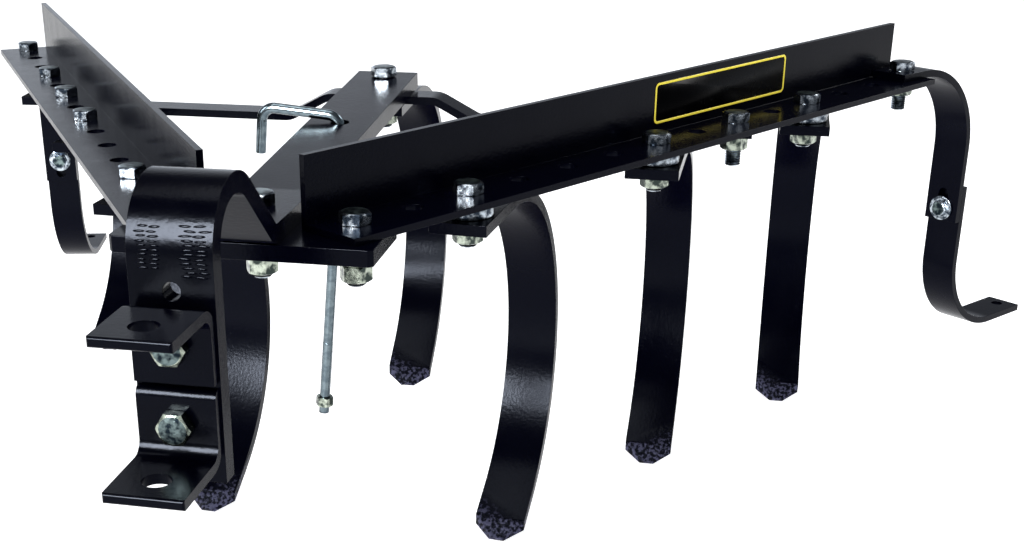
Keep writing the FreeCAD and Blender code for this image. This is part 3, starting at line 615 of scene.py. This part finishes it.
def dress_fasteners(node, kind, bases):
    """Bolts or nuts of one node, each in its own place and direction, in one mesh."""
    bolts = node.endswith("bolts")
    form = bolt_mesh if bolts else nut_mesh
    whole = bmesh.new()
    for number, places in enumerate(islands(node)):
        placement, low, high = own_frame(places, bases[number % len(bases)])
        join_into(whole, form(kind, low, high), placement)
    piece = dress(node, whole, MATERIALS[SLOT_OF[node]])
    piece.data.set_sharp_from_angle(angle=math.radians(24))
    # The heads' outer faces take the darker zinc, which is painted shade
    if bolts:
        piece.data.materials.append(SHADED_HEAD_TOP)
        for face in piece.data.polygons:
            outward = max(face.normal.dot(basis.col[2]) for basis in bases)
            face.material_index = 1 if outward > TOP_FACING and face.area > TOP_AREA else 0


def shoe_washers():
    """Large flat washers under the shoe bolts' heads."""
    soft = WASHER["soft"]
    inner, outer, height = WASHER["inner"], WASHER["outer"], WASHER["height"]
    rings = [(inner, soft), (inner + soft, 0), (outer - soft, 0), (outer, soft), (outer, height - soft),
             (outer - soft, height), (inner + soft, height), (inner, height - soft)]
    whole = bmesh.new()
    for basis, places in zip(SHOE_BASES, islands("gauge_bolts")):
        placement, _, high = own_frame(places, basis)
        under_head = placement @ Matrix.Translation((0, 0, high - SMALL_BOLT["head"]))
        join_into(whole, ring_mesh(rings, closed=True), under_head)
    piece = add_piece("gauge_washers", whole, MATERIALS["bright_zinc"], "frame")
    piece.data.set_sharp_from_angle(angle=math.radians(60))


def add_ripple(mesh, spot, normal, across, half_length, half_height):
    """A closed lens that stands a little proud of the surface."""
    upward = normal.cross(across).normalized()
    turns = [2 * math.pi * step / RIPPLE_TURNS for step in range(RIPPLE_TURNS)]
    rows = [[mesh.verts.new(spot + across * half_length * reach * math.cos(turn)
                            + upward * half_height * reach * math.sin(turn)
                            + normal * RIPPLE_RELIEF * rise) for turn in turns]
            for reach, rise in RIPPLE_PROFILE]
    skin_rows(mesh, rows, closed=False)


def add_ripples():
    """Stretch ripples where the flat bar was bent: two columns of short ridges on the arch's front."""
    drawbar = NODES["drawbar"].data
    surface = BVHTree.FromPolygons([vert.co for vert in drawbar.vertices],
                                   [face.vertices for face in drawbar.polygons])
    chance = random.Random(RIPPLE_SEED)
    mesh = bmesh.new()
    for middle, half, low, high in RIPPLE_COLUMNS:
        level = low
        while level < high:
            split = chance.uniform(-0.22, 0.22) * half
            for side in (-1, 1):
                length = half * chance.uniform(0.40, 0.50)
                x = middle + split + side * half * 0.5 + chance.uniform(-0.08, 0.08) * half
                z = level + chance.uniform(-0.2, 0.2) * MM
                spot, normal, _, _ = surface.ray_cast(Vector((x, -0.2, z)), Vector((0, 1, 0)))
                tilt = math.radians(chance.uniform(-4, 4))
                across = Matrix.Rotation(tilt, 3, normal) @ Vector((1, 0, 0))
                add_ripple(mesh, spot, normal, across, length, chance.uniform(0.65, 0.9) * MM)
            level += RIPPLE_STEP
    bmesh.ops.recalc_face_normals(mesh, faces=mesh.faces)
    add_piece("drawbar_ripples", mesh, MATERIALS["black_paint"], "frame")


def rod_thread():
    """Thread on the hook rod's lower end, around the rod."""
    low = own_frame(islands("hook_rod")[0], ROD_BASIS)[1]
    placement = own_frame(islands("hook_nut")[0], ROD_BASIS)[0]
    radius = ROD_THREAD["diameter"] / 2
    level = low - NEAR
    rings = []
    while level < low + ROD_THREAD["thread"]:
        rings += [(radius + ROD_CREST, level), (radius - ROD_ROOT, level + ROD_THREAD["pitch"] / 2)]
        level += ROD_THREAD["pitch"]
    mesh = ring_mesh(rings, closed=False)
    mesh.transform(placement)
    add_piece("hook_rod_thread", mesh, ROD_ZINC, "hook")


def rounded_rectangle(length, height, radius):
    """Corner-rounded outline around the origin."""
    points = []
    for corner, (sx, sy) in enumerate(((1, 1), (-1, 1), (-1, -1), (1, -1))):
        middle = Vector((sx * (length / 2 - radius), sy * (height / 2 - radius)))
        for step in range(CORNER_STEPS + 1):
            turn = math.radians(90 * corner + 90 * step / CORNER_STEPS)
            points.append(middle + Vector((math.cos(turn), math.sin(turn))) * radius)
    return points


def label_mesh(placement, levels, closed):
    """Rounded rectangles at their levels above the steel, joined one to the next and put in place."""
    mesh = bmesh.new()
    rows = [[mesh.verts.new((point.x, point.y, level)) for point in rounded_rectangle(*outline)]
            for outline, level in levels]
    skin_rows(mesh, rows, closed)
    bmesh.ops.recalc_face_normals(mesh, faces=mesh.faces)
    mesh.transform(placement)
    return mesh


def add_label():
    """A bare label on the left arm's upright: black film with a yellow rounded border."""
    along = Vector((math.sin(ARM_ANGLE), math.cos(ARM_ANGLE), 0.0))
    inward = Vector((-along.y, along.x, 0.0))
    first = Vector((FIRST_HOLE.x, FIRST_HOLE.y, LEG_TOP))
    middle = first + along * (LABEL_ALONG - ARM_START) + inward * HOLE_INSET + Vector((0, 0, LABEL_RISE))
    turn = Matrix((along, Vector((0, 0, 1)), -inward)).transposed().to_4x4()
    placement = Matrix.Translation(middle) @ turn
    film = label_mesh(placement, ((FILM_OUTLINE, 0.0), (FILM_OUTLINE, FILM_TOP)), closed=False)
    add_piece("label_film", film, label_film(), "frame")
    border = label_mesh(placement, ((BORDER_OUTSIDE, BORDER_FOOT), (BORDER_OUTSIDE, BORDER_TOP),
                                    (BORDER_INSIDE, BORDER_TOP), (BORDER_INSIDE, BORDER_FOOT)), closed=True)
    add_piece("label_border", border, label_border(), "frame")


def add_floor():
    """A pale self-lit floor under the shoes and tines, a little dimmer towards the front."""
    mesh = bmesh.new()
    bmesh.ops.create_grid(mesh, x_segments=1, y_segments=1, size=FLOOR_SIZE / 2)
    data = bpy.data.meshes.new("floor")
    mesh.to_mesh(data)
    mesh.free()
    floor = bpy.data.objects.new("floor", data)
    floor.location = (0.0, 0.0, cad_box[0][2])
    bpy.context.scene.collection.objects.link(floor)
    shader = Shader("pale_floor")
    shader.set(Base_Color=(0.9, 0.9, 0.9, 1.0), Roughness=0.7, Emission_Color=(1.0, 1.0, 1.0, 1.0))
    shader.link("Emission Strength", shader.spread(shader.along(FLOOR_DIRECTION), *FLOOR_GLOW, *FLOOR_FADE))
    data.materials.append(shader.material)


def add_world():
    """A soft surround, pale near the horizon and dimmer overhead, with one bright spot at the back."""
    world = bpy.data.worlds.new("studio")
    world.use_nodes = True
    sky = Wiring(world.node_tree, "Generated")
    fade = sky.spread(sky.along((0.0, 0.0, 1.0)), *SKY_STRENGTH, 0.0, SKY_HEIGHT)
    edge, core = (math.cos(math.radians(angle)) for angle in SPOT_ANGLES)
    spot = sky.spread(sky.along(Vector(SPOT_DIRECTION).normalized()), 0.0, SPOT_STRENGTH, edge, core)
    background = world.node_tree.nodes["Background"]
    background.inputs["Color"].default_value = SKY_COLOUR
    sky.feed(background.inputs["Strength"], sky.math("ADD", fade, spot))
    bpy.context.scene.world = world


def add_light(name, place, target, size, power):
    """A rectangular softbox that faces its target."""
    data = bpy.data.lights.new(name, "AREA")
    data.shape = "RECTANGLE"
    data.size, data.size_y = size
    data.energy = power
    light = bpy.data.objects.new(name, data)
    light.location = place
    light.rotation_euler = (Vector(target) - Vector(place)).to_track_quat("-Z", "Y").to_euler()
    bpy.context.scene.collection.objects.link(light)
    return light


def add_studio():
    """Floor, surround and lights; the front light shows in glossy surfaces only, and not on the floor."""
    add_floor()
    add_world()
    lights = {name: add_light(name, *values) for name, values in LIGHTS.items()}
    lights["front"].visible_diffuse = False
    bpy.context.scene.view_settings.view_transform = "Standard"


add_camera()
for node in sorted(NODES):
    if node in TINES:
        dress_tine(node)
    elif node == "lower_clevis_ear":
        dress_lower_ear()
    elif node == "upper_clevis_ear":
        dress_ear(node, clean_copy(node))
    elif node in ("gauge_bolts", "gauge_nuts"):
        dress_fasteners(node, SMALL_BOLT, SHOE_BASES)
    elif node in ("clevis_bolts", "clevis_nuts"):
        dress_fasteners(node, FRAME_BOLT, [FACING_FRONT])
    elif node == "hook_nut":
        dress_fasteners(node, ROD_THREAD, [ROD_BASIS])
    elif node.endswith(("bolts", "nuts")):
        dress_fasteners(node, FRAME_BOLT, [UPRIGHT])
    else:
        dress_steel(node, clean_copy(node), ROD_ZINC if node == "hook_rod" else MATERIALS[SLOT_OF[node]])
shoe_washers()
rod_thread()
add_ripples()
add_label()
add_studio()
